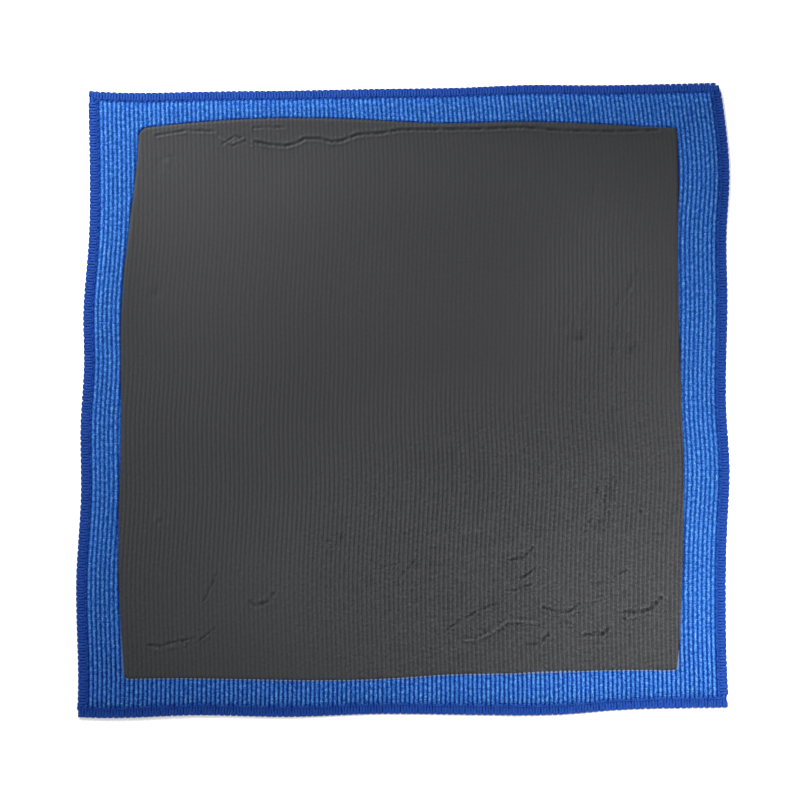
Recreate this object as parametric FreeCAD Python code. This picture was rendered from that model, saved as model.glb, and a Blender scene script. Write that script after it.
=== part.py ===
"""Clay detailing towel: a ribbed microfibre cloth with a synthetic clay layer pressed into one face.

Millimetres, +Z up. The towel lies flat with its clay face up, and the origin is the middle of the
face it rests on. X runs across the ribs of the knit, and Y runs along them towards the back edge.
Each edge of the cloth is finished with a three-thread overlock seam. Its needle thread, its upper
looper thread and its lower looper thread are solids of their own.

The pieces are soft, so they are drawn plain and flat: the ribs of the knit and the creases in the
clay aren't cut, and each thread is a hexagonal rod bent sharply at its turns.
"""

import FreeCAD, Part

import math
import os

V = FreeCAD.Vector

# Finished towel, measured over the seams. The cut isn't square and the seams ripple, so each side
# has stations, counter-clockwise from the front left: (along the side, outside its nominal line).
HALF_WIDTH = 150.0
HALF_LENGTH = 147.5
FRONT_SIDE = [
    (-150.3, 1.9), (-124, 2.1), (-97, 1.0), (-54, 1.8), (-18, 0.5), (12, 0.5),
    (43, 1.0), (76, 0.4), (92, -1.0), (120, -2.2), (149.0, -2.6),
]
RIGHT_SIDE = [
    (-144.9, -1.0), (-104, -1.8), (-58, -0.3), (-34, 1.0), (-10, -0.1), (48, 1.2),
    (78, 1.2), (102, 2.9), (128, 1.6), (149.3, -1.0),
]
BACK_SIDE = [
    (149.0, 1.8), (120, 1.2), (84, 0.7), (60, 0.9), (30, -0.3), (-14, -1.0),
    (-56, -1.9), (-96, -2.3), (-124, -2.9), (-149.6, -2.0),
]
LEFT_SIDE = [
    (145.5, -0.4), (108, -1.8), (68, -1.6), (37, 0.2), (16, -0.5), (-14, 0.7),
    (-44, 0.0), (-86, 1.6), (-134, 0.0), (-149.4, 0.3),
]

# Cloth: pile on both faces, squeezed thin in the seam, thinnest at the cut edge.
PILE_THICKNESS = 2.8
HEM_WIDTH = 4.3
HEM_HALF_THICKNESS = 0.5
CUT_HALF_THICKNESS = 0.2
MIDDLE_Z = PILE_THICKNESS / 2
PILE_SLOPE = 0.6

# Clay layer: pressed into the pile, its face a little below the pile around it.
CLAY_BOTTOM = 1.7
CLAY_TOP = 2.5
CLAY_FRONT = [
    (-129, -132.8), (-104, -132.4), (-46, -133.3), (0, -132.1), (20, -130.7), (50, -130.2),
    (70, -129.5), (126.4, -128.7),
]
CLAY_RIGHT = [
    (126.4, -128.7), (128.4, -104), (130.2, -66), (130.6, -34), (129.3, 51), (129.8, 92), (129.6, 128),
]
CLAY_BACK = [
    (129.6, 128), (104, 129.3), (47, 131), (14, 130.3), (0, 131), (-57, 132.8), (-95, 131),
    (-125.5, 127.8),
]
CLAY_LEFT = [
    (-125.5, 127.8), (-127, 104), (-131.4, 62), (-132.8, 36), (-132.2, -14), (-132.8, -60),
    (-131.4, -104), (-129, -132.8),
]
CLAY_CORNER_RADII = {(-129, -132.8): 2.5, (126.4, -128.7): 2.5, (129.6, 128): 2.2, (-125.5, 127.8): 4.0}

# Seam: distances inward from the cut edge, where the cloth itself ends.
STITCH = 2.7
SEAM_OVERHANG = 0.85
NEEDLE_LINE = 3.0
NEEDLE_RADIUS = 0.16
LOOPER_RADIUS = 0.25
GAP = 0.03
LOOP_HALF_WIDTH = 0.35
NEEDLE_LOOP = LOOPER_RADIUS + NEEDLE_RADIUS + GAP
UPPER_TIP = NEEDLE_LINE + NEEDLE_LOOP + NEEDLE_RADIUS + LOOPER_RADIUS + GAP
EDGE_TURN = LOOPER_RADIUS - SEAM_OVERHANG
CROSS_SEAM_REACH = UPPER_TIP + LOOPER_RADIUS + 0.1
CHAIN_TAIL = 1.25


def side_points(side, stations, inset):
    """Points of one finished side, moved inward by inset."""
    points = []
    for i, (along, outside) in enumerate(stations):
        if i in (0, len(stations) - 1):
            along -= math.copysign(inset, along)
        out = outside - inset
        points.append({
            "front": V(along, -HALF_LENGTH - out, 0),
            "right": V(HALF_WIDTH + out, along, 0),
            "back": V(along, HALF_LENGTH + out, 0),
            "left": V(-HALF_WIDTH - out, along, 0),
        }[side])
    return points


SIDES = {"front": FRONT_SIDE, "right": RIGHT_SIDE, "back": BACK_SIDE, "left": LEFT_SIDE}


def closed_outline(sides, z):
    """A closed wire at height z: one smooth edge for each side, and each corner where two sides meet."""
    corners = []
    for before, after in zip([sides[-1]] + sides[:-1], sides):
        corners.append((before[-1] + after[0]) * 0.5)
    edges = []
    for i, points in enumerate(sides):
        whole = [corners[i]] + points[1:-1] + [corners[(i + 1) % 4]]
        curve = Part.BSplineCurve()
        curve.interpolate([V(p.x, p.y, z) for p in whole])
        edges.append(curve.toShape())
    return Part.Wire(edges)


def towel_outline(inset, z):
    return closed_outline([side_points(name, stations, inset) for name, stations in SIDES.items()], z)


def cut_edge(side):
    """The cloth's cut edge along one side."""
    return towel_outline(SEAM_OVERHANG, 0).Edges[list(SIDES).index(side)]


def upright_distance(edge, corner):
    """How far an upright edge stands from a corner. An edge that isn't upright is no candidate."""
    if abs(edge.tangentAt(edge.FirstParameter).z) < 0.9:
        return math.inf
    return edge.distToShape(corner)[0]


def clay_block(bottom, top):
    sides = [[V(x, y, 0) for x, y in points] for points in (CLAY_FRONT, CLAY_RIGHT, CLAY_BACK, CLAY_LEFT)]
    block = Part.Face(closed_outline(sides, bottom)).extrude(V(0, 0, top - bottom))
    for (x, y), radius in CLAY_CORNER_RADII.items():
        corner = Part.Vertex(x, y, bottom)
        block = block.makeFillet(radius, [min(block.Edges, key=lambda e: upright_distance(e, corner))])
    return block


class Seam:
    """Places along one side of the cloth: how far along it, how far in from the cut edge, how high."""

    def __init__(self, side, start, end):
        self.edge = cut_edge(side)
        self.start = start
        self.stitches = round((self.edge.Length - start - end) / STITCH)
        self.pitch = (self.edge.Length - start - end) / self.stitches

    def place(self, along, inward, z):
        inside = min(max(along, 0.01), self.edge.Length - 0.01)
        parameter = self.edge.getParameterByLength(inside)
        ahead = self.edge.tangentAt(parameter).normalize()
        point = self.edge.valueAt(parameter) + ahead * (along - inside)
        return point + V(-ahead.y, ahead.x, 0) * inward + V(0, 0, z)

    def along(self, stitch):
        return self.start + (stitch + 0.5) * self.pitch

    def path(self, stitch_points):
        """The thread through every stitch. stitch_points gives one stitch's (along, inward, z)."""
        points = []
        for stitch in range(self.stitches):
            for along, inward, z in stitch_points:
                points.append(self.place(self.along(stitch) + along * self.pitch, inward, z))
        return points


def looper_height(inward):
    """How far a looper thread's centre stands from the middle of the cloth."""
    slope = (HEM_HALF_THICKNESS - CUT_HALF_THICKNESS) / HEM_WIDTH
    return CUT_HALF_THICKNESS + slope * inward + LOOPER_RADIUS + GAP


def needle_stitch():
    """Down through the cloth, round the lower looper thread, and up again."""
    reach = looper_height(NEEDLE_LINE) + NEEDLE_LOOP
    near, far = NEEDLE_LINE - NEEDLE_LOOP, NEEDLE_LINE + NEEDLE_LOOP
    top, bottom = MIDDLE_Z + reach, MIDDLE_Z - reach
    return [(0, near, top), (0, near, bottom), (0, far, bottom), (0, far, top)]


def looper_stitch(pitch, inner, side_of_cloth):
    """Out to the edge and back once a stitch. side_of_cloth is 1 over the cloth and -1 under it."""
    turn = LOOP_HALF_WIDTH / pitch
    high = MIDDLE_Z + side_of_cloth * looper_height(inner)
    low = MIDDLE_Z + side_of_cloth * looper_height(EDGE_TURN)
    return [
        (-turn, inner, high), (turn, inner, high),
        (0.5 - turn, EDGE_TURN, low), (0.5 + turn, EDGE_TURN, low),
    ]


def hexagonal_rod(points, radius):
    """A rod along straight runs between points, mitred at each turn."""
    runs = [(b - a).normalize() for a, b in zip(points, points[1:])]
    across = runs[0].cross(V(0, 0, 1) if abs(runs[0].z) < 0.9 else V(1, 0, 0)).normalize()
    up = runs[0].cross(across).normalize()
    ring = []
    for i in range(6):
        turn = math.radians(60 * i)
        ring.append(points[0] + across * (radius * math.cos(turn)) + up * (radius * math.sin(turn)))
    rings = [ring]
    for i, run in enumerate(runs):
        mitre = V(run + runs[i + 1]) if i + 1 < len(runs) else V(run)
        mitre.normalize()
        ring = [q + run * ((points[i + 1] - q).dot(mitre) / run.dot(mitre)) for q in ring]
        rings.append(ring)
    faces = [Part.Face(Part.makePolygon(end + end[:1])) for end in (rings[0], rings[-1])]
    for a, b in zip(rings, rings[1:]):
        for i in range(6):
            j = (i + 1) % 6
            faces.append(Part.Face(Part.makePolygon([a[i], a[j], b[j], b[i], a[i]])))
    shell = Part.makeShell(faces)
    shell.sewShape()
    return Part.Solid(shell)


def needle_slots(seam):
    """What the needle thread of one seam passes through."""
    reach = NEEDLE_LOOP + NEEDLE_RADIUS + GAP
    half = NEEDLE_RADIUS + GAP
    slots = []
    for stitch in range(seam.stitches):
        along = seam.along(stitch)
        signs = ((-1, -1), (1, -1), (1, 1), (-1, 1))
        corners = [seam.place(along + half * a, NEEDLE_LINE + reach * b, 0) for a, b in signs]
        slots.append(Part.Face(Part.makePolygon(corners + corners[:1])).extrude(V(0, 0, PILE_THICKNESS)))
    return slots


def make_cloth(seams):
    hem = SEAM_OVERHANG + HEM_WIDTH
    pile = hem + PILE_SLOPE
    body = Part.makeLoft([
        towel_outline(pile, 0),
        towel_outline(hem, MIDDLE_Z - HEM_HALF_THICKNESS),
        towel_outline(SEAM_OVERHANG, MIDDLE_Z - CUT_HALF_THICKNESS),
        towel_outline(SEAM_OVERHANG, MIDDLE_Z + CUT_HALF_THICKNESS),
        towel_outline(hem, MIDDLE_Z + HEM_HALF_THICKNESS),
        towel_outline(pile, PILE_THICKNESS),
    ], True, True)
    slots = [slot for seam in seams.values() for slot in needle_slots(seam)]
    return body.cut([clay_block(CLAY_BOTTOM, PILE_THICKNESS)] + slots).Solids[0]


def make_seams():
    """Side seams stop at the cross seams. Cross seams run on past the cloth into short tails."""
    seams = {}
    for side in SIDES:
        end = CROSS_SEAM_REACH if side in ("left", "right") else -CHAIN_TAIL
        seams[side] = Seam(side, end - STITCH / 4, end + STITCH / 4)
    return seams


def make_threads(side, seam):
    needle = needle_stitch()
    upper = looper_stitch(seam.pitch, UPPER_TIP, 1)
    lower = looper_stitch(seam.pitch, NEEDLE_LINE, -1)
    return {
        f"needle_thread_{side}": hexagonal_rod(seam.path(needle), NEEDLE_RADIUS),
        f"upper_looper_thread_{side}": hexagonal_rod(seam.path(upper), LOOPER_RADIUS),
        f"lower_looper_thread_{side}": hexagonal_rod(seam.path(lower), LOOPER_RADIUS),
    }


def make_parts():
    seams = make_seams()
    parts = {"microfibre_cloth": make_cloth(seams), "clay_layer": clay_block(CLAY_BOTTOM, CLAY_TOP)}
    for side, seam in seams.items():
        parts.update(make_threads(side, seam))
    return parts


def centre(parts):
    """Move the origin to the middle of the seams, which stand outside everything else."""
    box = FreeCAD.BoundBox()
    for node, shape in parts.items():
        if "thread" in node:
            box.add(shape.BoundBox)
    for shape in parts.values():
        shape.translate(V(-box.Center.x, -box.Center.y, 0))


os.makedirs("parts", exist_ok=True)
towel = make_parts()
centre(towel)
for node, shape in towel.items():
    shape.exportStep(f"parts/{node}.step")
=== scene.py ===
"""Looks of a clay detailing towel: a ribbed microfibre cloth, its clay layer and its overlocked edges.

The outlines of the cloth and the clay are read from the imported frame. Distances below are in
millimetres until a mesh is made, which is in metres, as the frame is.
"""

import math

import bpy
import numpy as np
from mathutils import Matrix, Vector


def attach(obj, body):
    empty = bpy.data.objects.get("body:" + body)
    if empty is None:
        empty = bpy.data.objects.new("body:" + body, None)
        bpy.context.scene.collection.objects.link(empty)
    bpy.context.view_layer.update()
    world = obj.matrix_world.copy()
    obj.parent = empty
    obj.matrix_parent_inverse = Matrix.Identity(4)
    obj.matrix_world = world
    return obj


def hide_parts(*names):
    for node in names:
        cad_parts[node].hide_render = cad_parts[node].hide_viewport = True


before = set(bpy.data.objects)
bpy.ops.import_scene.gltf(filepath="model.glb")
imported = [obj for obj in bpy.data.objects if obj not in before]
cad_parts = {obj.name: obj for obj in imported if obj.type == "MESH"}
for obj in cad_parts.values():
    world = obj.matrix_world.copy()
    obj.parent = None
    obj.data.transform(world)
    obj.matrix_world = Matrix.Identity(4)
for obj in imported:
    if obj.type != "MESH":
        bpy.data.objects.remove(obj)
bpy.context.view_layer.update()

MM = 0.001

# Heights over the floor, as the frame has them.
PILE_TOP = 2.8
MIDDLE = 1.4
CUT_HALF, HEM_HALF, HEM_WIDTH = 0.2, 0.5, 4.3
CUT_FRINGE = 0.38
CLAY_TOP = 2.5
CLAY_SEAT = 1.65
CLAY_BOTTOM = 1.6

# Knit.
RIBS = 143
RIB_DEPTH = 0.8
RIB_SAMPLES = (0.0, 0.25, 0.5, 0.75)

# Seam.
STITCH = 2.7
NEEDLE_LINE = 3.0


# ---------------------------------------------------------------- outlines read from the frame

def ring(node, height):
    """The vertices of a CAD node at one height, in order round its middle."""
    points = np.array([v.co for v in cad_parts[node].data.vertices]) / MM
    points = points[abs(points[:, 2] - height) < 0.01][:, :2]
    points = np.unique(points.round(4), axis=0)
    return points[np.argsort(np.arctan2(points[:, 1], points[:, 0]))]


def straightened(run, axis):
    """A side of an outline, sorted along an axis, with the rounding at its ends run on straight."""
    steepest, run_on = 0.3, 12
    step = np.diff(run, axis=0)
    level = abs(step[:, 1 - axis]) < steepest * abs(step[:, axis])
    kept = run[1:][level]
    kept = kept[np.argsort(kept[:, axis])]
    slope_low = (kept[3] - kept[0]) / (kept[3] - kept[0])[axis]
    slope_high = (kept[-1] - kept[-4]) / (kept[-1] - kept[-4])[axis]
    return np.concatenate([[kept[0] - run_on * slope_low], kept, [kept[-1] + run_on * slope_high]])


class Outline:
    """Four sides of a towel-shaped outline, each as a function of the distance along it."""

    def __init__(self, points):
        x, y = points.T
        corners = [int(np.argmax(reach)) for reach in (-x - y, x - y, x + y, y - x)]
        runs = []
        for a, b in zip(corners, corners[1:] + corners[:1]):
            stop = b if b > a else b + len(points)
            runs.append(points[np.arange(a, stop + 1) % len(points)])
        self.front_run, self.right_run, self.back_run, self.left_run = runs
        self.front_side, self.back_side = straightened(self.front_run, 0), straightened(self.back_run, 0)
        self.right_side, self.left_side = straightened(self.right_run, 1), straightened(self.left_run, 1)
        self.points = points
        y, x = self.left_side[:, 1], self.front_side[:, 0]
        self.width = float(np.mean(self.right(y) - self.left(y)))
        self.length = float(np.mean(self.back(x) - self.front(x)))

    def left(self, y):
        return np.interp(y, self.left_side[:, 1], self.left_side[:, 0])

    def right(self, y):
        return np.interp(y, self.right_side[:, 1], self.right_side[:, 0])

    def front(self, x):
        return np.interp(x, self.front_side[:, 0], self.front_side[:, 1])

    def back(self, x):
        return np.interp(x, self.back_side[:, 0], self.back_side[:, 1])


def softened(points):
    """A closed outline with its corners cut twice over, so that it has no kinks."""
    for _ in range(2):
        ahead = np.roll(points, -1, axis=0)
        points = np.stack([0.75 * points + 0.25 * ahead, 0.25 * points + 0.75 * ahead], 1).reshape(-1, 2)
    return points


# Small corrections, because the CAD outlines came out slightly off: the cloth about half a millimetre
# too small at the right and back, and the clay as much too large. (scale), then (shift), for x and y.
CUT_SPREAD, CUT_SHIFT = (1.003, 1.0015), (0.2, 0.15)
CLAY_SHOWN, CLAY_SHIFT = (0.998, 0.997), (-0.13, 0.08)

cut = Outline(ring("microfibre_cloth", MIDDLE + CUT_HALF) * CUT_SPREAD + CUT_SHIFT)
clay_edge = Outline(softened(ring("clay_layer", CLAY_TOP)) * CLAY_SHOWN + CLAY_SHIFT)
CUT_WIDTH, CUT_LENGTH = cut.width, cut.length


# Where, across the towel, the difference between its sides is shared out.
EASE = (0.05, 0.95)


def smooth(low, high, value):
    """0 below low, 1 above high, and an easy curve between."""
    t = np.clip((value - low) / (high - low), 0, 1)
    return t * t * (3 - 2 * t)


def spread(outline, across, along):
    """Where (across, along), in mm from the left and front sides, lies inside an outline."""
    width, length = outline.width, outline.length
    y = outline.front(0) + along
    for _ in range(3):
        left, right = outline.left(y), outline.right(y)
        x = left + across + smooth(*EASE, across / width) * (right - left - width)
        front, back = outline.front(x), outline.back(x)
        y = front + along + smooth(*EASE, along / length) * (back - front - length)
    return x, y


def knit_place(x, y):
    """How far across the ribs, and along them, a point of the towel lies, in mm from its cut edges."""
    left, right = cut.left(y), cut.right(y)
    across = x - left
    for _ in range(3):
        across = x - left - smooth(*EASE, across / CUT_WIDTH) * (right - left - CUT_WIDTH)
    front, back = cut.front(x), cut.back(x)
    along = y - front
    for _ in range(3):
        along = y - front - smooth(*EASE, along / CUT_LENGTH) * (back - front - CUT_LENGTH)
    return across, along


def clay_distance(x, y):
    """Distance outside the clay's outline, negative inside it."""
    points = clay_edge.points
    best = np.full(x.shape, 1e9)
    inside = np.zeros(x.shape, bool)
    for (ax, ay), (bx, by) in zip(points, np.roll(points, -1, axis=0)):
        dx, dy = bx - ax, by - ay
        t = np.clip(((x - ax) * dx + (y - ay) * dy) / (dx * dx + dy * dy), 0, 1)
        best = np.minimum(best, np.hypot(x - ax - t * dx, y - ay - t * dy))
        crosses = (ay > y) != (by > y)
        if dy:
            inside ^= crosses & (x < ax + (y - ay) * dx / dy)
    return np.where(inside, -best, best)


# ---------------------------------------------------------------- how the towel lies

LIFTS = [
    # (x, y, reach in x, reach in y, height)
    (-155, 60, 26, 34, 1.6), (-155, -84, 24, 30, 1.3), (155, 100, 24, 30, 2.2), (156, -30, 22, 26, 1.5),
    (150, 152, 22, 20, 2.0), (-60, 150, 46, 20, 1.0), (70, 152, 50, 20, 1.2), (-120, -150, 30, 18, 0.6),
    (-40, -150, 34, 18, 0.8), (60, -148, 40, 18, 1.2), (150, -146, 22, 18, 1.0), (-150, 150, 18, 18, 0.6),
    (40, 20, 60, 40, 0.5), (-60, -60, 50, 34, 0.6), (80, -80, 40, 40, 0.7), (-20, 90, 70, 26, 0.5),
]


def cut_distance(x, y):
    """Distance in from the nearest cut edge."""
    return np.minimum(
        np.minimum(x - cut.left(y), cut.right(y) - x), np.minimum(y - cut.front(x), cut.back(x) - y)
    )


# The seams sag by this much, plus a share of the lift there, over this distance in from the edge.
SEAM_SAG, SAG_SHARE, SAG_REACH = 0.45, 0.8, 8


def lift(x, y):
    """How far the towel stands off the floor: soft waves, and a heavy seam that sags along each edge."""
    height = np.zeros(np.shape(x))
    for cx, cy, rx, ry, rise in LIFTS:
        height = height + rise * np.exp(-((x - cx) / rx) ** 2 - ((y - cy) / ry) ** 2)
    return height - (SEAM_SAG + SAG_SHARE * height) * smooth(SAG_REACH, 0, cut_distance(x, y))


# ---------------------------------------------------------------- meshes

def sheet_faces(rows, cols, keep_rows, keep_cols):
    """Faces of a closed sheet. Its underside has only the kept rows and columns, and its whole border.
    Returns them with the numbers of the underside's grid points that they use."""
    faces = []
    for r in range(rows - 1):
        base = r * cols
        faces += [(base + c, base + c + 1, base + cols + c + 1, base + cols + c) for c in range(cols - 1)]
    used = {}

    def under(r, c):
        return rows * cols + used.setdefault((r, c), len(used))

    for r0, r1 in zip(keep_rows, keep_rows[1:]):
        for c0, c1 in zip(keep_cols, keep_cols[1:]):
            loop = [(r0, c0)]
            if c0 == 0:
                loop += [(r, c0) for r in range(r0 + 1, r1)]
            loop.append((r1, c0))
            if r1 == rows - 1:
                loop += [(r1, c) for c in range(c0 + 1, c1)]
            loop.append((r1, c1))
            if c1 == cols - 1:
                loop += [(r, c1) for r in range(r1 - 1, r0, -1)]
            loop.append((r0, c1))
            if r0 == 0:
                loop += [(r0, c) for c in range(c1 - 1, c0, -1)]
            faces.append(tuple(under(r, c) for r, c in loop))
    border = [(0, c) for c in range(cols)] + [(r, cols - 1) for r in range(1, rows)]
    border += [(rows - 1, c) for c in range(cols - 2, -1, -1)] + [(r, 0) for r in range(rows - 2, 0, -1)]
    for (r0, c0), (r1, c1) in zip(border, border[1:] + border[:1]):
        faces.append((r1 * cols + c1, r0 * cols + c0, under(r0, c0), under(r1, c1)))
    return faces, list(used)


def make_mesh(name, points, faces, uvs):
    """A smooth-shaded mesh object from points in mm, with named UV maps given for each vertex."""
    mesh = bpy.data.meshes.new(name)
    mesh.from_pydata((np.asarray(points) * MM).tolist(), [], faces)
    corner = np.empty(len(mesh.loops), np.int32)
    mesh.loops.foreach_get("vertex_index", corner)
    for title, values in uvs.items():
        layer = mesh.uv_layers.new(name=title)
        layer.data.foreach_set("uv", np.asarray(values, np.float32)[corner].ravel())
    mesh.polygons.foreach_set("use_smooth", [True] * len(mesh.polygons))
    mesh.validate()
    obj = bpy.data.objects.new(name, mesh)
    bpy.context.scene.collection.objects.link(obj)
    return obj


def flat_sheet(name, x, y, top, bottom, keep_rows, keep_cols, uvs, under_uvs):
    """A closed sheet from grids of places and heights, lifted as the towel lies. The underside has the
    same UV maps, apart from those in under_uvs."""
    rows, cols = x.shape
    faces, used = sheet_faces(rows, cols, keep_rows, keep_cols)
    up = lift(x, y)
    upper = np.stack([x, y, top + up], -1).reshape(-1, 3)
    r, c = np.array(used).T
    lower = np.stack([x[r, c], y[r, c], np.maximum(bottom + up, 0)[r, c]], -1)
    maps = {}
    for title, parts in uvs.items():
        under = under_uvs.get(title, parts)
        maps[title] = np.concatenate([np.stack(parts, -1).reshape(-1, 2), np.stack(under, -1)[r, c]])
    return make_mesh(name, np.concatenate([upper, lower]), faces, maps)


# ---------------------------------------------------------------- cloth

def wander(values, seed, reach):
    """A slow wave that differs for each seed, about -1 to 1."""
    out = 0
    for k in range(4):
        phase = math.sin(seed * 12.9898 + k * 78.233) * 43758.5453
        out = out + np.sin(values / (reach * (0.6 + 0.37 * k)) + phase % 6.283) / 2
    return out * 0.7


def rib_height(phase):
    """The pile's height across one rib, from 0 in the gap to 1 on the ridge: broad ridge, narrow gap."""
    return np.abs(np.sin(np.pi * phase)) ** 0.7


def cloth_grid():
    pitch = CUT_WIDTH / RIBS
    across = np.array([(rib + s) * pitch for rib in range(RIBS) for s in RIB_SAMPLES] + [CUT_WIDTH])
    across[[0, -1]] += np.array([-1, 1]) * CUT_FRINGE
    near = [-CUT_FRINGE, 0.7, 1.5, 2.4, 3.3, 4.0, 4.5, 5.0, 5.6, 6.6, 8.2, 10]
    front = near + [11.5, 12.6] + [13.2 + 0.4 * k for k in range(14)]
    back = near + [11 + 0.5 * k for k in range(18)]
    middle = np.linspace(front[-1] + 3, CUT_LENGTH - back[-1] - 3, 46)
    along = np.concatenate([front, middle, CUT_LENGTH - np.array(back)[::-1]])
    keep_rows = sorted({0, len(along) - 1} | set(range(2, len(along) - 2, 2)))
    return across, along, keep_rows


def make_cloth():
    across, along, keep_rows = cloth_grid()
    across, along = np.meshgrid(across, along)
    x, y = spread(cut, across, along)
    edge = np.minimum(np.minimum(across, CUT_WIDTH - across), np.minimum(along, CUT_LENGTH - along))
    phase = across * RIBS / CUT_WIDTH
    wobble = wander(along, 1.7, 9) * wander(across, 3.1, 7) * 0.10
    x = x + wobble * smooth(4, 9, edge)
    outside = clay_distance(x, y)

    rise = smooth(3.9, 5.4, edge)
    hem = CUT_HALF + (HEM_HALF - CUT_HALF) * np.clip(edge, -CUT_FRINGE, HEM_WIDTH) / HEM_WIDTH
    plump = 1 + 0.10 * wander(along + across * 0.3, 5.2, 6) * wander(across, 2.2, 3)
    ridge = rib_height(phase)
    pile = PILE_TOP - MIDDLE - RIB_DEPTH * (1 - ridge) * plump
    shoulder = pile - 0.35 * (1 - smooth(5.0, 8.5, edge))
    upper = hem + (shoulder - hem) * rise
    seat = CLAY_SEAT - MIDDLE
    wall = smooth(-0.9, 0.25, outside)
    top = MIDDLE + seat + (upper - seat) * wall
    under_ridge = rib_height(phase + 0.5)
    under = PILE_TOP - MIDDLE - 0.6 * RIB_DEPTH * (1 - under_ridge)
    bottom = MIDDLE - (hem + (under - hem) * rise)
    cols = across.shape[1]
    return flat_sheet(
        "towel_cloth", x, y, top, bottom, keep_rows, list(range(cols)),
        {"knit": (phase, along), "place": (edge, outside)}, {"place": (edge, np.full(edge.shape, 9.0))},
    )


# ---------------------------------------------------------------- clay

CREASE_DEPTH = 3.0
CREASE_WIDTH = 0.75
DEEPEST, HIGHEST = -0.5, 0.55
CREASES = [
    # (height, half width, points): positive stands up, negative is a groove
    (-0.22, 0.8, [
        (-71, 121), (-64, 119.6), (-57, 119), (-52, 120), (-47.5, 122.5), (-41, 122.5), (-34.5, 121),
    ]),
    (-0.22, 0.8, [
        (-34.5, 121), (-30, 121.5), (-22.5, 124.4), (-10, 125.4), (-2.5, 126.8), (36, 127.2), (55, 128),
    ]),
    (-0.20, 0.8, [(55, 128), (65, 127.2), (73, 126.5), (83, 126.3), (99, 126), (120, 126.8)]),
    (-0.12, 0.7, [(-118, 124), (-104, 126.4), (-90, 126)]),
    (-0.12, 0.6, [(-72, 127.6), (-67, 128), (-57, 127.9)]),
    (0.14, 0.7, [(-88, 123), (-82, 120), (-76, 122.5)]),
    (-0.12, 0.6, [(-87, 119.5), (-80, 124), (-73, 119.5)]),
    (-0.13, 0.7, [(-3, -85.7), (4.4, -76.9)]),
    (0.12, 0.7, [(17.4, -65.7), (23, -62.9), (33.6, -63.4)]),
    (-0.16, 0.6, [(88, -45), (96.5, -38.7)]),
    (0.16, 0.6, [(88, -50), (97.4, -40.5)]),
    (-0.16, 0.6, [(87, -53.6), (97.3, -44.3)]),
    (0.14, 0.6, [(91.7, -55.5), (98.2, -50)]),
    (-0.20, 0.7, [(82.4, -61), (86.5, -57.8), (92.6, -59.2)]),
    (0.14, 0.6, [(84, -63.4), (91.6, -62.5)]),
    (-0.24, 0.8, [(48.4, -77), (54.4, -76), (59, -71.3)]),
    (-0.22, 0.7, [(50.6, -84.8), (54.3, -85.2), (60, -81)]),
    (-0.20, 0.7, [(47, -90.8), (50.6, -90.8), (59, -88)]),
    (-0.18, 0.7, [(28.4, -103.3), (34, -100), (40.4, -97.7), (45, -96.8)]),
    (-0.16, 0.6, [(18.2, -110), (22.8, -106.5), (25.6, -104.7)]),
    (0.24, 0.9, [(28.4, -114), (33, -114), (37.6, -111.6), (43, -108.4), (47.8, -105), (59.8, -106)]),
    (-0.18, 0.9, [(54.2, -115.7), (61.6, -115.7), (66.2, -111)]),
    (-0.22, 0.8, [(63.5, -99), (71, -101), (75.5, -101), (80.2, -97.3)]),
    (-0.18, 0.6, [(71, -106), (76.5, -105.6)]),
    (-0.26, 0.9, [(82.8, -111.6), (90.2, -111.6), (94.4, -108.4)]),
    (-0.28, 1.0, [(101.4, -101), (108.8, -101), (113.4, -99.6), (118, -94.5)]),
    (0.20, 0.7, [(102.3, -104), (108.7, -102.8)]),
    (-0.16, 0.6, [(85.8, -88), (93.2, -87.6)]),
    (-0.16, 0.6, [(85.7, -97.3), (92, -95)]),
    (-0.16, 0.6, [(108.2, -54), (112, -55)]),
    (-0.16, 0.6, [(96, -85.2), (102.5, -81.5)]),
    (-0.12, 0.7, [(66.7, 30), (71.4, 34), (78, 35), (85.5, 42)]),
    (-0.16, 0.7, [(77, 27.3), (83.5, 27.3), (87.3, 33)]),
    (0.14, 0.6, [(78, 31), (82.6, 32), (85.4, 36.8)]),
    (-0.18, 0.8, [(97, 21.6), (103.6, 20.2), (109.2, 25.4)]),
    (0.14, 0.6, [(98, 29), (101, 32), (108.4, 30)]),
    (-0.13, 0.9, [(99, 43), (104, 49.6), (109.6, 60)]),
    (0.10, 0.8, [(102, 43), (108.7, 54.4)]),
    (-0.12, 0.6, [(88.4, 98.4), (93, 98.8)]),
    (-0.12, 0.6, [(50.7, 100), (54.5, 100.5)]),
    (-0.20, 0.7, [(-118.8, -116.2), (-113.3, -116.6), (-106.3, -114.8), (-97, -113)]),
    (0.18, 0.6, [(-116, -118.3), (-108.6, -117.4), (-101.7, -116.2)]),
    (-0.16, 0.6, [(-94.8, -114), (-88, -108.4)]),
    (-0.15, 1.0, [(-71.8, -96.4), (-69, -98.2), (-64, -96.4), (-60.8, -92.6)]),
    (-0.12, 0.8, [(-93, -95.4), (-89.5, -88.5), (-87.7, -83.8)]),
    (-0.14, 0.6, [(-116, -58.3), (-109.3, -59.7)]),
    (0.14, 0.7, [(-40, -67.5), (-36, -70.3), (-30.4, -66.2)]),
    (-0.12, 0.7, [(-16.4, -77), (-11, -80), (-4, -78.7)]),
    (0.12, 0.9, [(-116.8, 110), (-111, 112.4)]),
    (-0.10, 0.6, [(-120.3, 48.2), (-112.3, 50)]),
    (-0.08, 0.6, [(-34.5, 49.6), (-24, 50)]),
    (-0.08, 0.6, [(-67.7, 44), (-51.3, 44.3)]),
]


def clay_grid(width, length):
    """Rows are close together where the clay is creased."""
    stops = [(0, 0.5), (2.5, 1.1), (16, 0.65), (60, 1.6), (75, 2.4), (length - 16, 0.65), (length, 0.65)]
    along = [np.arange(start, stop, step) for (start, step), (stop, _) in zip(stops, stops[1:])]
    return np.linspace(0, width, 500), np.append(np.concatenate(along), length)


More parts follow.
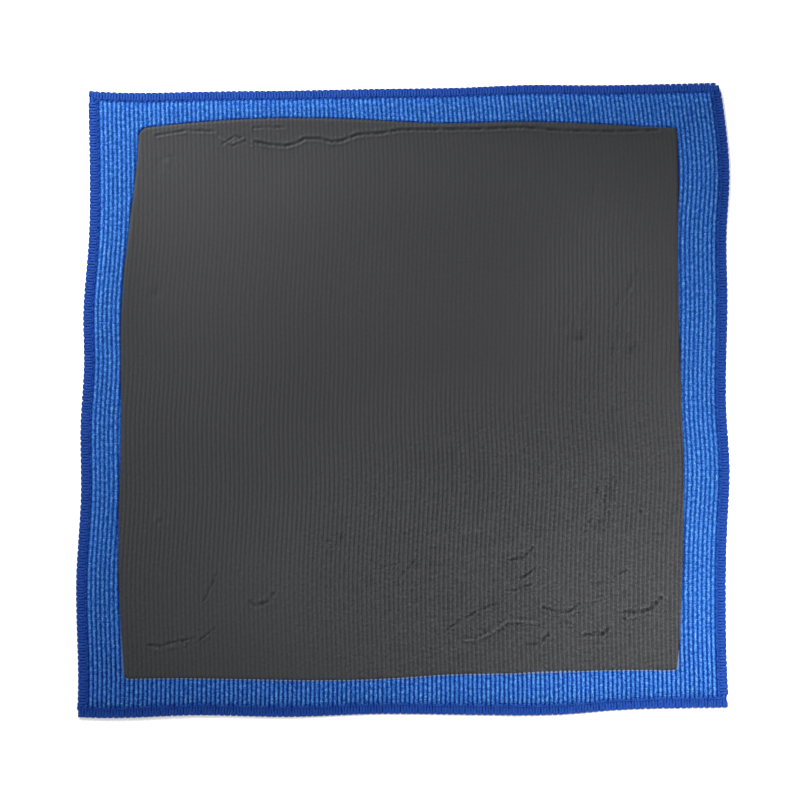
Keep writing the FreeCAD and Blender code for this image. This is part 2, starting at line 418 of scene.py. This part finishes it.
def round_corners(across, along, width, length):
    """Draws a square grid in to round corners: (left or right, front or back, radius)."""
    for right, back, radius in ((0, 0, 2.5), (1, 0, 2.5), (1, 1, 2.2), (0, 1, 4.0)):
        u = radius - (width - across if right else across)
        v = radius - (length - along if back else along)
        pull = np.where((u > 0) & (v > 0), 1 - np.maximum(u, v) / np.maximum(np.hypot(u, v), 1e-9), 0)
        across = across + u * pull * (-1 if right else 1)
        along = along + v * pull * (-1 if back else 1)
    return across, along


def relief(x, y):
    """Creases and soft unevenness of the clay's face, and how crumpled it is beside the creases."""
    height = 0.07 * wander(x + 0.4 * y, 4.0, 17) * wander(y, 8.0, 13)
    broken = np.clip(0.75 + 0.5 * wander(x + 0.6 * y, 6.0, 1.1), 0.25, 1.25)
    crumpled = np.zeros(x.shape)
    for rise, reach, points in CREASES:
        nearest = np.full(x.shape, 1e9)
        for (ax, ay), (bx, by) in zip(points, points[1:]):
            dx, dy = bx - ax, by - ay
            t = np.clip(((x - ax) * dx + (y - ay) * dy) / (dx * dx + dy * dy), 0, 1)
            nearest = np.minimum(nearest, np.hypot(x - ax - t * dx, y - ay - t * dy))
        far = nearest / (CREASE_WIDTH * reach)
        fold = np.exp(-(far**2)) - 0.4 * np.exp(-((far - 1.9) ** 2))
        height = height + CREASE_DEPTH * rise * broken * fold
        crumpled = np.maximum(crumpled, abs(rise) * 6 * np.exp(-((nearest / 3.2) ** 2)))
    return np.clip(height, DEEPEST, HIGHEST), np.minimum(crumpled, 1) * smooth(110, 60, y)


def painted_light_amount(x, y):
    """How pale the clay is: painted shade darkens the middle and painted light brightens three corners, for
    how light falls on the gently tilted clay.
    """
    tone = np.ones(x.shape)
    for cx, cy, rx, ry, more in (
        (40, 0, 75, 50, -0.24), (-85, -95, 60, 45, 0.33), (95, 95, 50, 40, 0.20), (95, -95, 60, 40, 0.12),
    ):
        tone = tone + more * np.exp(-((x - cx) / rx) ** 2 - ((y - cy) / ry) ** 2)
    return tone


def pressed_amount(x, y):
    """How strongly the knit shows through: least at the back left, most at the front right."""
    front = 0.5 * smooth(60, -110, y)
    front_right = 1.9 * smooth(115, 20, np.hypot((x - 70) / 1.4, y + 88))
    right = 0.6 * smooth(55, 10, np.hypot(x - 96, (y - 30) / 1.3))
    return 0.16 + front + front_right + right


def make_clay():
    across, along = np.meshgrid(*clay_grid(clay_edge.width, clay_edge.length))
    x, y = spread(clay_edge, *round_corners(across, along, clay_edge.width, clay_edge.length))
    knit_across, knit_along = knit_place(x, y)
    phase = knit_across * RIBS / CUT_WIDTH
    inside = -clay_distance(x, y)
    edge_drop = 0.35 * (1 - smooth(0, 1.2, inside))
    pressed = pressed_amount(x, y)
    folds, crumpled = relief(x, y)
    crumpled = crumpled * smooth(0.2, 1.6, pressed)
    tone = painted_light_amount(x, y)
    print_through = 0.07 * pressed * (rib_height(phase) - 0.6)
    top = CLAY_TOP + folds + print_through - edge_drop
    bottom = np.full(top.shape, CLAY_BOTTOM)
    rows, cols = top.shape
    keep_rows = list(range(0, rows - 1, 8)) + [rows - 1]
    keep_cols = list(range(0, cols - 1, 8)) + [cols - 1]
    return flat_sheet(
        "clay_face", x, y, top, bottom, keep_rows, keep_cols,
        {
            "knit": (phase, knit_along), "place": (inside, pressed),
            "fold": (folds, crumpled), "tone": (tone, tone),
        },
        {},
    )


# ---------------------------------------------------------------- threads

class Seam:
    """Places along one cut edge: how far along it, how far in from it, how high."""

    def __init__(self, run, start, end):
        self.run = run
        self.far = np.concatenate([[0], np.cumsum(np.hypot(*np.diff(run, axis=0).T))])
        self.start = start
        self.count = round((self.far[-1] - start - end) / STITCH)
        self.pitch = (self.far[-1] - start - end) / self.count

    def place(self, along, inward, z):
        inside = np.clip(along, 0, self.far[-1])
        x = np.interp(inside, self.far, self.run[:, 0])
        y = np.interp(inside, self.far, self.run[:, 1])
        step = 2.0
        ahead = np.stack([
            np.interp(np.minimum(inside + step, self.far[-1]), self.far, self.run[:, i])
            - np.interp(np.maximum(inside - step, 0), self.far, self.run[:, i]) for i in (0, 1)
        ], -1)
        ahead /= np.linalg.norm(ahead, axis=-1, keepdims=True)
        x = x + ahead[:, 0] * (along - inside) - ahead[:, 1] * inward
        y = y + ahead[:, 1] * (along - inside) + ahead[:, 0] * inward
        return np.stack([x, y, z + lift(x, y)], -1)


def surface(inward):
    """Half the hem's thickness at a distance from the cut edge."""
    return CUT_HALF + (HEM_HALF - CUT_HALF) * np.clip(inward, 0, HEM_WIDTH) / HEM_WIDTH


NEEDLE_YARN = 0.17
FLAT = 0.2


def upper_stitch(p):
    """Upper looper thread: round the needle thread, out to the edge, through the lower loop, and back.
    Each row is (along, inward, height over the middle, facing inward, facing up, half width, half
    thickness)."""
    e = p / 2
    rows = []
    for s, t, wide in ((-0.55, 3.0, 0.44), (-0.3, 3.62, 0.36), (0.3, 3.62, 0.36), (0.55, 3.0, 0.44)):
        rows.append((s, t, surface(t) + FLAT, 0, 1, wide, FLAT))
    rows += [
        (0.66, 1.9, surface(1.9) + FLAT, 0, 1, 0.56, FLAT),
        (e - 0.58, 0.5, surface(0.5) + FLAT, 0, 1, 0.60, FLAT),
        (e - 0.60, -0.36, 0.34, -1, 0.9, 0.64, 0.24),
        (e - 0.56, -0.70, -0.02, -1, 0, 0.62, 0.22),
        (e - 0.05, -0.68, -0.28, -1, -0.4, 0.50, 0.20),
        (e + 0.42, -0.66, -0.16, -1, -0.2, 0.50, 0.20),
        (e + 0.60, -0.64, 0.12, -1, 0.4, 0.62, 0.22),
        (e + 0.60, -0.30, 0.38, -1, 1, 0.66, 0.24),
        (p - 0.72, 0.9, surface(0.9) + FLAT, 0, 1, 0.60, FLAT),
        (p - 0.66, 1.9, surface(1.9) + FLAT, 0, 1, 0.56, FLAT),
    ]
    return rows


def lower_stitch(p):
    """Lower looper thread: through the needle loop, out to the edge, over the upper loop, and back."""
    e = p / 2
    rows = []
    for s, t, wide in ((-0.55, 2.5, 0.44), (-0.27, 2.98, 0.36), (0.27, 2.98, 0.36), (0.55, 2.5, 0.44)):
        rows.append((s, t, -surface(t) - FLAT, 0, -1, wide, FLAT))
    rows += [
        (0.70, 1.5, -surface(1.5) - FLAT, 0, -1, 0.56, FLAT),
        (e - 0.58, 0.4, -surface(0.4) - FLAT, 0, -1, 0.58, FLAT),
        (e - 0.60, -0.40, -0.36, -1, -0.9, 0.62, 0.22),
        (e - 0.54, -0.54, -0.02, -1, 0, 0.46, 0.20),
        (e - 0.20, -0.66, 0.24, -1, 0.5, 0.44, 0.20),
        (e + 0.20, -0.70, 0.22, -1, 0.4, 0.44, 0.20),
        (e + 0.54, -0.70, -0.02, -1, 0, 0.46, 0.20),
        (e + 0.60, -0.40, -0.36, -1, -0.9, 0.62, 0.22),
        (p - 0.72, 0.7, -surface(0.7) - FLAT, 0, -1, 0.58, FLAT),
        (p - 0.70, 1.5, -surface(1.5) - FLAT, 0, -1, 0.56, FLAT),
    ]
    return rows


def needle_stitch(_):
    """Needle thread: along the top, down through the cloth, round the lower looper thread, and up again.
    Its rows don't depend on the stitch's length."""
    top = surface(NEEDLE_LINE) + 0.46
    y = NEEDLE_YARN
    return [
        (-0.45, 3.0, top, 0, 1, y, y), (-0.12, 2.8, top - 0.2, 0.5, 1, y, y), (0, 2.62, 0.3, 1, 0, y, y),
        (0, 2.58, -0.5, 1, 0, y, y), (0, 2.72, -0.88, 0.4, -1, y, y), (0, 3.2, -0.88, -0.4, -1, y, y),
        (0, 3.4, -0.5, -1, 0, y, y), (0, 3.36, 0.3, -1, 0, y, y), (0.12, 3.18, top - 0.2, 0.4, 1, y, y),
        (0.45, 3.0, top, 0, 1, y, y),
    ]


def curve_through(rows, between):
    """A smooth line through rows of numbers, Catmull-Rom, with that many steps from each to the next."""
    rows = np.concatenate([[2 * rows[0] - rows[1]], rows, [2 * rows[-1] - rows[-2]]])
    a, b, c, d = rows[:-3, None], rows[1:-2, None], rows[2:-1, None], rows[3:, None]
    t = (np.arange(between) / between)[None, :, None]
    out = 0.5 * (2 * b + (c - a) * t + (2 * a - 5 * b + 4 * c - d) * t**2 + (3 * b - a - 3 * c + d) * t**3)
    return np.concatenate([out.reshape(-1, rows.shape[1]), rows[-2:-1]])


def make_thread(name, seam, stitch, between, sides=8):
    rows = []
    for k in range(seam.count):
        s0 = seam.start + (k + 0.5) * seam.pitch
        uneven = 0.12 * math.sin(k * 2.399) + 0.08 * math.sin(k * 0.7)
        for s, t, z, face_in, face_up, wide, thick in stitch(seam.pitch):
            rows.append((
                s0 + s + 0.5 * uneven, t + uneven * (t > 2), z, face_in, face_up,
                wide * (1 + 0.6 * uneven), thick,
            ))
    rows = curve_through(np.array(rows), between)
    along, inward, z, face_in, face_up, wide, thick = rows.T
    path = seam.place(along, inward, z + MIDDLE)
    out = seam.place(along, inward + 0.05, z + MIDDLE) - path
    out /= np.linalg.norm(out, axis=1, keepdims=True)
    facing = out * face_in[:, None] + np.array([0, 0, 1.0]) * face_up[:, None]
    ahead = np.gradient(path, axis=0)
    ahead /= np.linalg.norm(ahead, axis=1, keepdims=True)
    side = np.cross(facing, ahead)
    side /= np.maximum(np.linalg.norm(side, axis=1, keepdims=True), 1e-6)
    up = np.cross(ahead, side)
    turn = np.linspace(0, 2 * np.pi, sides, endpoint=False)
    sideways = side[:, None] * (np.cos(turn)[:, None] * wide[:, None, None])
    around = sideways + up[:, None] * (np.sin(turn)[:, None] * thick[:, None, None])
    points = (path[:, None] + around).reshape(-1, 3)
    points[:, 2] = np.maximum(points[:, 2], 0)
    n = len(path)
    faces = []
    for i in range(n - 1):
        for j in range(sides):
            k = (j + 1) % sides
            faces.append((i * sides + j, i * sides + k, (i + 1) * sides + k, (i + 1) * sides + j))
    faces.append(tuple(range(sides))[::-1])
    faces.append(tuple((n - 1) * sides + j for j in range(sides)))
    far = np.concatenate([[0], np.cumsum(np.linalg.norm(np.diff(path, axis=0), axis=1))])
    uv = np.stack(np.broadcast_arrays(far[:, None], np.arange(sides)[None] / sides), -1).reshape(-1, 2)
    return make_mesh(name, points, faces, {"yarn": uv})


# How far from the corners each seam starts and ends.
SEAM_ENDS = {"left": (4.2, 4.2), "right": (4.2, 4.2), "front": (-0.9, 0.3), "back": (0.3, 0.3)}


def make_threads():
    """Side seams stop at the cross seams. Cross seams run on past the cloth into short tails."""
    runs = {"front": cut.front_run, "right": cut.right_run, "back": cut.back_run, "left": cut.left_run}
    made = {}
    for side, run in runs.items():
        start, end = SEAM_ENDS[side]
        seam = Seam(run, start - STITCH / 4, end + STITCH / 4)
        made[f"needle_thread_{side}"] = make_thread(f"needle_{side}", seam, needle_stitch, 2, 6)
        made[f"upper_looper_thread_{side}"] = make_thread(f"upper_looper_{side}", seam, upper_stitch, 3)
        made[f"lower_looper_thread_{side}"] = make_thread(f"lower_looper_{side}", seam, lower_stitch, 3)
    return made


# ---------------------------------------------------------------- materials

class Material:
    """A Principled material, with short calls that add its nodes."""

    def __init__(self, name, settings):
        self.data = bpy.data.materials.new(name)
        self.data.use_nodes = True
        self.nodes, self.links = self.data.node_tree.nodes, self.data.node_tree.links
        self.shader = self.nodes["Principled BSDF"]
        for title, value in settings.items():
            self.shader.inputs[title].default_value = value

    def feed(self, socket, value):
        """Links a node's output to a socket, or sets the socket to a plain value."""
        if hasattr(value, "links"):
            self.links.new(value, socket)
        else:
            socket.default_value = value

    def math(self, operation, *values):
        made = self.nodes.new("ShaderNodeMath")
        made.operation = operation
        for socket, value in zip(made.inputs, values):
            self.feed(socket, value)
        return made.outputs[0]

    def ramp(self, fac, stops):
        """A colour ramp from (position, colour) stops."""
        made = self.nodes.new("ShaderNodeValToRGB")
        elements = made.color_ramp.elements
        while len(elements) < len(stops):
            elements.new(0.5)
        for element, (position, colour) in zip(elements, stops):
            element.position = position
            element.color = (*colour, 1)
        self.feed(made.inputs[0], fac)
        return made.outputs[0]

    def mix(self, kind, fac, a, b):
        made = self.nodes.new("ShaderNodeMix")
        made.data_type = "RGBA"
        made.blend_type = kind
        for socket, value in zip((made.inputs[0], made.inputs[6], made.inputs[7]), (fac, a, b)):
            self.feed(socket, value)
        return made.outputs[2]

    def times(self, colour, by, fac=1.0):
        return self.mix("MULTIPLY", fac, colour, by)

    def uv(self, title):
        """A UV map as a vector, and its two parts."""
        source = self.nodes.new("ShaderNodeUVMap")
        source.uv_map = title
        parts = self.nodes.new("ShaderNodeSeparateXYZ")
        self.links.new(source.outputs[0], parts.inputs[0])
        return source.outputs[0], parts.outputs[0], parts.outputs[1]

    def noise(self, vector, detail, across, along):
        """Noise with its own frequency in each direction of a UV map."""
        mapping = self.nodes.new("ShaderNodeMapping")
        mapping.inputs["Scale"].default_value = (across, along, 1)
        self.links.new(vector, mapping.inputs[0])
        made = self.nodes.new("ShaderNodeTexNoise")
        made.inputs["Scale"].default_value = 1.0
        made.inputs["Detail"].default_value = detail
        self.links.new(mapping.outputs[0], made.inputs["Vector"])
        return made.outputs["Fac"]

    def ribs(self, phase):
        """0 in the gaps between the ribs, 1 on their ridges."""
        return self.math("ABSOLUTE", self.math("SINE", self.math("MULTIPLY", phase, math.pi)))

    def finish(self, colour, height, strength, distance):
        """Links the colour and a bump to the shader."""
        self.links.new(colour, self.shader.inputs["Base Color"])
        bump = self.nodes.new("ShaderNodeBump")
        bump.inputs["Strength"].default_value = strength
        bump.inputs["Distance"].default_value = distance
        self.links.new(height, bump.inputs["Height"])
        self.links.new(bump.outputs[0], self.shader.inputs["Normal"])
        return self.data


def cloth_material():
    m = Material("microfibre", {
        "Roughness": 0.92, "Specular IOR Level": 0.05,
        "Sheen Weight": 0.04, "Sheen Roughness": 0.4, "Sheen Tint": (0.35, 0.6, 1, 1),
    })
    knit, phase, along = m.uv("knit")
    _, edge, outside = m.uv("place")
    ridge = m.ribs(phase)
    loops = m.noise(knit, 1.0, 1.3, 0.6)
    fine = m.noise(knit, 3.0, 3.6, 1.5)
    slow = m.noise(knit, 2.0, 0.16, 0.07)

    pile = m.math("MULTIPLY_ADD", loops, 0.9, m.math("MULTIPLY_ADD", fine, 1.5, -1.24))
    # Painted shade: the ramp darkens the colour towards the gaps between the ribs, where shade falls; the
    # loop and fine noise add the pile's own speckle.
    colour = m.ramp(m.math("MULTIPLY_ADD", ridge, 0.62, pile), [
        (0.08, (0.002, 0.025, 0.15)), (0.36, (0.009, 0.057, 0.25)),
        (0.62, (0.034, 0.122, 0.36)), (1.0, (0.125, 0.250, 0.39)),
    ])
    colour = m.times(colour, m.ramp(slow, [(0.3, (0.88, 0.90, 0.93)), (0.7, (1.08, 1.07, 1.04))]))
    # Painted shade: the cloth is darker along the hem, under and between the seam threads.
    hem = m.ramp(m.math("MULTIPLY", edge, 0.1), [(0.36, (0.36, 0.47, 0.72)), (0.52, (1, 1, 1))])
    colour = m.times(colour, hem)

    # Painted shade: near the front edge the gaps between the ribs are darkened further.
    near_front = m.ramp(m.math("MULTIPLY", along, 0.01), [(0.2, (1, 1, 1)), (0.5, (0, 0, 0))])
    gaps = m.ramp(ridge, [(0.25, (0.40, 0.55, 0.78)), (0.75, (1.04, 1.02, 1))])
    colour = m.times(colour, gaps, near_front)
    shade_by_clay = m.ramp(outside, [(0.1, (0.36, 0.47, 0.60)), (1.0, (1, 1, 1))])
    colour = m.times(colour, shade_by_clay)
    # Painted highlight: along the clay's front edge the tips of the ribs are mixed towards pale grey, where
    # they catch the light.
    rim = m.ramp(m.math("ADD", outside, 0.5), [(0.6, (0.7, 0.7, 0.7)), (1.0, (0, 0, 0))])
    painted_tip_highlight = m.math("MULTIPLY", m.math("MULTIPLY", rim, near_front), ridge)
    colour = m.mix("MIX", painted_tip_highlight, colour, (0.12, 0.15, 0.20, 1))

    course = m.math("SINE", m.math("MULTIPLY_ADD", along, 7.4, m.math("MULTIPLY", loops, 9.0)))
    height = m.math("MULTIPLY_ADD", course, 0.22, m.math("MULTIPLY_ADD", fine, 1.0, loops))
    return m.finish(colour, height, 0.9, 0.00035)


def clay_material():
    m = Material("synthetic_clay", {"Roughness": 0.5, "Specular IOR Level": 0.14})
    knit, phase, _ = m.uv("knit")
    _, _, pressed = m.uv("place")
    _, fold, crumpled = m.uv("fold")
    _, tone, _ = m.uv("tone")
    fine = m.noise(knit, 3.0, 1.7, 0.75)
    grain = m.noise(knit, 2.0, 6, 4)
    slow = m.noise(knit, 3.0, 0.05, 0.022)
    crinkle = m.noise(knit, 2.0, 1.9, 0.95)

    colour = m.ramp(slow, [(0.3, (0.0154, 0.0159, 0.0184)), (0.7, (0.0166, 0.0171, 0.0196))])
    colour = m.times(colour, m.ramp(fine, [(0.3, (0.86, 0.87, 0.88)), (0.7, (1.14, 1.14, 1.13))]))
    # Painted highlight: the clay is made up to twice as pale where the knit presses through most, at the
    # front right.
    painted_sheen_stops = [(0.05, (0.90, 0.90, 0.90)), (0.95, (2.0, 1.98, 1.95))]
    colour = m.times(colour, m.ramp(m.math("MULTIPLY", pressed, 0.33), painted_sheen_stops))
    # Painted light and shade: the tone map darkens the middle of the clay and brightens three corners.
    colour = m.times(colour, m.ramp(m.math("MULTIPLY", tone, 0.5), [(0, (0, 0, 0)), (1, (2, 2, 2))]))
    crumple = m.math("MULTIPLY", crumpled, m.math("MULTIPLY_ADD", crinkle, 4.4, -2.2))
    depth = m.math("MULTIPLY_ADD", crumple, 0.4, m.math("ADD", fold, 0.5))
    # Painted shade and highlight: the colour darkens in the creases' grooves and crinkles and brightens on
    # their crests.
    painted_crease_light_and_shade = m.ramp(depth, [
        (0.05, (0.50, 0.50, 0.52)), (0.42, (1, 1, 1)), (0.58, (1, 1, 1)), (0.95, (1.6, 1.59, 1.56)),
    ])
    colour = m.times(colour, painted_crease_light_and_shade)

    knit_print = m.math("MULTIPLY_ADD", fine, 1.25, m.math("MULTIPLY", m.ribs(phase), 0.85))
    weave = m.math("MULTIPLY", pressed, knit_print)
    height = m.math("MULTIPLY_ADD", grain, 0.25, m.math("MULTIPLY_ADD", crumple, 0.55, weave))
    return m.finish(colour, height, 1.0, 0.0004)


def thread_material():
    m = Material("seam_yarn", {"Roughness": 0.7, "Specular IOR Level": 0.06})
    yarn = m.uv("yarn")[0]
    strands = m.noise(yarn, 3.0, 1.2, 7.0)
    slow = m.noise(yarn, 2.0, 0.35, 0.5)
    colour = m.ramp(strands, [(0.3, (0.003, 0.019, 0.13)), (0.7, (0.011, 0.050, 0.25))])
    colour = m.times(colour, m.ramp(slow, [(0.3, (0.8, 0.84, 0.9)), (0.7, (1.15, 1.12, 1.08))]))
    return m.finish(colour, strands, 0.8, 0.0002)


def floor_material():
    return Material("studio_floor", {"Base Color": (0.97, 0.97, 0.97, 1), "Roughness": 0.9}).data


# ---------------------------------------------------------------- studio

def add_object(name, data, place=(0, 0, 0)):
    obj = bpy.data.objects.new(name, data)
    obj.location = place
    bpy.context.scene.collection.objects.link(obj)
    return obj


def add_light(name, kind, place, aim, power):
    """A light at a place, turned to its aim. Returns its data."""
    data = bpy.data.lights.new(name, kind)
    data.energy = power
    obj = add_object(name, data, place)
    obj.rotation_euler = (Vector(aim) - Vector(place)).to_track_quat("-Z", "Y").to_euler()
    return data


def area_light(name, place, aim, power, size):
    add_light(name, "AREA", place, aim, power).size = size


def spot_light(name, place, aim, power, reach, colour):
    """A soft-edged pool of light that fades out at reach from its aim."""
    data = add_light(name, "SPOT", place, aim, power)
    data.color = colour
    data.shadow_soft_size = 0.12
    data.spot_blend = 1.0
    data.spot_size = 2 * math.atan(reach / (Vector(aim) - Vector(place)).length)


def make_studio():
    mesh = bpy.data.meshes.new("studio_floor")
    mesh.from_pydata([(-6, -6, 0), (6, -6, 0), (6, 6, 0), (-6, 6, 0)], [], [(0, 1, 2, 3)])
    mesh.materials.append(floor_material())
    floor = add_object("studio_floor", mesh)
    world = bpy.data.worlds.new("studio")
    world.use_nodes = True
    background = world.node_tree.nodes["Background"]
    background.inputs["Color"].default_value = (1, 1, 1, 1)
    background.inputs["Strength"].default_value = 0.86
    bpy.context.scene.world = world
    area_light("key", (-1.25, 1.8, 1.53), (0, 0, 0), 57, 0.55)
    spot_light("back_left", (-0.7, 0.9, 0.95), (-0.14, 0.19, 0), 190, 0.22, (1, 0.98, 0.92))
    spot_light("front_right", (0.35, 0.5, 1.3), (0.155, -0.13, 0), 240, 0.185, (1, 0.98, 0.91))
    bpy.context.scene.view_settings.view_transform = "Standard"


def make_camera():
    tilt, away = math.radians(8), 1.41
    aim = Vector((-0.00255, -0.00203, 0.0025))
    data = bpy.data.cameras.new("camera")
    data.lens = 136
    data.sensor_width = 36
    obj = add_object("camera", data, aim + Vector((0, -math.sin(tilt), math.cos(tilt))) * away)
    obj.rotation_euler = (tilt, 0, 0)
    bpy.context.scene.camera = obj


def finish_piece(obj, mat, cad_node):
    obj.data.materials.append(mat)
    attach(obj, "root")
    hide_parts(cad_node)


cloth = make_cloth()
finish_piece(cloth, cloth_material(), "microfibre_cloth")
clay = make_clay()
finish_piece(clay, clay_material(), "clay_layer")
yarn = thread_material()
threads = make_threads()
for cad_node, thread in threads.items():
    finish_piece(thread, yarn, cad_node)

make_studio()
make_camera()
